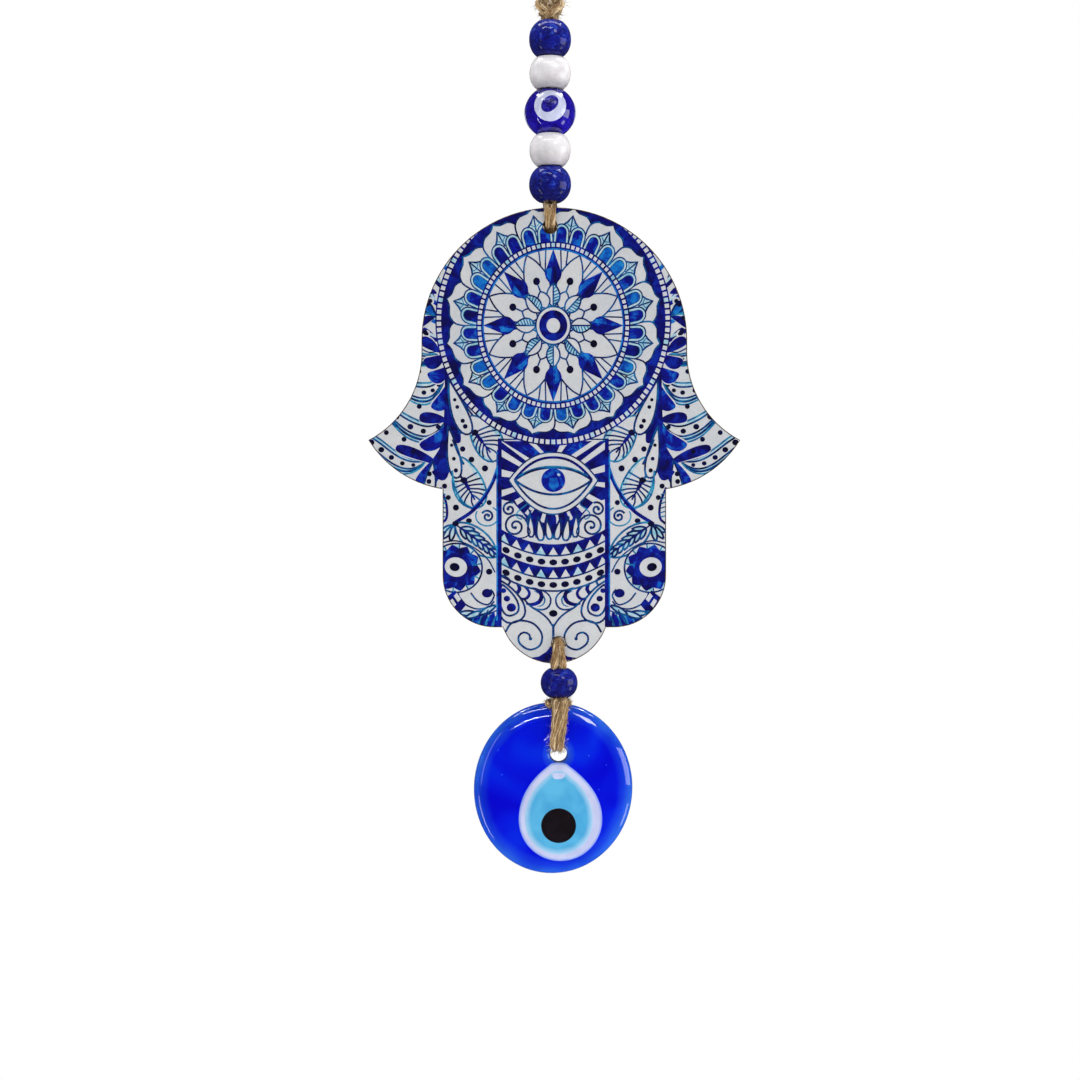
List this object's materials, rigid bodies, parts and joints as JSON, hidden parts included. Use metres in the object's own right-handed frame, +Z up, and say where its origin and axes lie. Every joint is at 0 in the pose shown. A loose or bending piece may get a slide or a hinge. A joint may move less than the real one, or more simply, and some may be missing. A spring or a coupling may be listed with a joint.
{
  "type": "evil eye ornament",
  "caption": "Hanging hamsa-shaped printed plate on a jute cord, with round beads above it and a bead and a blue glass eye disc below it.",
  "frame": {"origin": "inside top of the hanging loop, where a nail or hook holds it", "axes": "+Z up along the hanging string, +X to the viewer's right, +Y away from the viewer; the printed face looks along -Y"},
  "size_m": [0.0882, 0.012, 0.2655],
  "materials": {
    "jute": "rough, hairy twisted fibre",
    "blue_wood": "satin stain with visible grain",
    "white_bead": "glossy",
    "cobalt_glass": "glossy, opaque",
    "white_glass": "glossy, opaque",
    "fibreboard": "matt, laser-browned edge",
    "printed_paper": "satin print",
    "blue_glass": "glossy, slightly see-through",
    "light_blue_glass": "glossy, opaque",
    "black_glass": "glossy, opaque"
  },
  "bodies": {
    "hanging_loop": {"hanging_loop": "jute"},
    "upper_knot": {"upper_knot": "jute"},
    "bead_cord": {"bead_cord": "jute"},
    "blue_bead_top": {"blue_bead_top": "blue_wood"},
    "white_bead_upper": {"white_bead_upper": "white_bead"},
    "eye_bead": {"eye_bead": "cobalt_glass", "eye_bead_rings": "white_glass", "eye_bead_pupils": "cobalt_glass"},
    "white_bead_lower": {"white_bead_lower": "white_bead"},
    "blue_bead_lower": {"blue_bead_lower": "blue_wood"},
    "plate_loop": {"plate_loop": "jute"},
    "hamsa": {"hamsa_plate": "fibreboard", "printed_face": "printed_paper"},
    "lower_plate_loop": {"lower_plate_loop": "jute"},
    "lower_cord": {"lower_cord": "jute"},
    "lower_bead": {"lower_bead": "blue_wood"},
    "glass_loop": {"lower_knot": "jute", "glass_loop": "jute"},
    "glass_eye": {"glass_disc": "blue_glass", "eye_white": "white_glass", "eye_light_blue": "light_blue_glass", "eye_pupil": "black_glass"}
  },
  "joints": [
    {"name": "knot_swing_side", "type": "hinge", "parent": "hanging_loop", "child": "upper_knot", "pos_m": [0, 0, -0.0578], "axis": [0, 1, 0], "range_deg": [-20, 20]},
    {"name": "string_swing_front", "type": "hinge", "parent": "upper_knot", "child": "bead_cord", "pos_m": [0, 0, -0.0578], "axis": [1, 0, 0], "range_deg": [-15, 15]},
    {"name": "blue_bead_top_spin", "type": "hinge", "parent": "bead_cord", "child": "blue_bead_top", "pos_m": [0, 0, -0.0644], "axis": [0, 0, 1], "continuous": true},
    {"name": "white_bead_upper_spin", "type": "hinge", "parent": "bead_cord", "child": "white_bead_upper", "pos_m": [0, 0, -0.0725], "axis": [0, 0, 1], "continuous": true},
    {"name": "eye_bead_spin", "type": "hinge", "parent": "bead_cord", "child": "eye_bead", "pos_m": [0, 0, -0.08165], "axis": [0, 0, 1], "continuous": true},
    {"name": "white_bead_lower_spin", "type": "hinge", "parent": "bead_cord", "child": "white_bead_lower", "pos_m": [0, 0, -0.0908], "axis": [0, 0, 1], "continuous": true},
    {"name": "blue_bead_lower_spin", "type": "hinge", "parent": "bead_cord", "child": "blue_bead_lower", "pos_m": [0, 0, -0.0989], "axis": [0, 0, 1], "continuous": true},
    {"name": "plate_twist", "type": "hinge", "parent": "bead_cord", "child": "plate_loop", "pos_m": [0, 0, -0.10315], "axis": [0, 0, 1], "range_deg": [-60, 60]},
    {"name": "plate_swing", "type": "hinge", "parent": "plate_loop", "child": "hamsa", "pos_m": [0, 0, -0.1091], "axis": [0, 1, 0], "range_deg": [-15, 15]},
    {"name": "lower_cord_swing", "type": "hinge", "parent": "hamsa", "child": "lower_plate_loop", "pos_m": [0.002, 0, -0.2081], "axis": [0, 1, 0], "range_deg": [-15, 15]},
    {"name": "pendant_twist", "type": "hinge", "parent": "lower_plate_loop", "child": "lower_cord", "pos_m": [0.002, 0, -0.21425], "axis": [0, 0, 1], "range_deg": [-60, 60]},
    {"name": "lower_bead_spin", "type": "hinge", "parent": "lower_cord", "child": "lower_bead", "pos_m": [0.002, 0, -0.21735], "axis": [0, 0, 1], "continuous": true},
    {"name": "pendant_swing_front", "type": "hinge", "parent": "lower_cord", "child": "glass_loop", "pos_m": [0.002, 0, -0.21735], "axis": [1, 0, 0], "range_deg": [-10, 10]},
    {"name": "glass_swing", "type": "hinge", "parent": "glass_loop", "child": "glass_eye", "pos_m": [0.002, 0, -0.2335], "axis": [0, 1, 0], "range_deg": [-12, 12]}
  ]
}
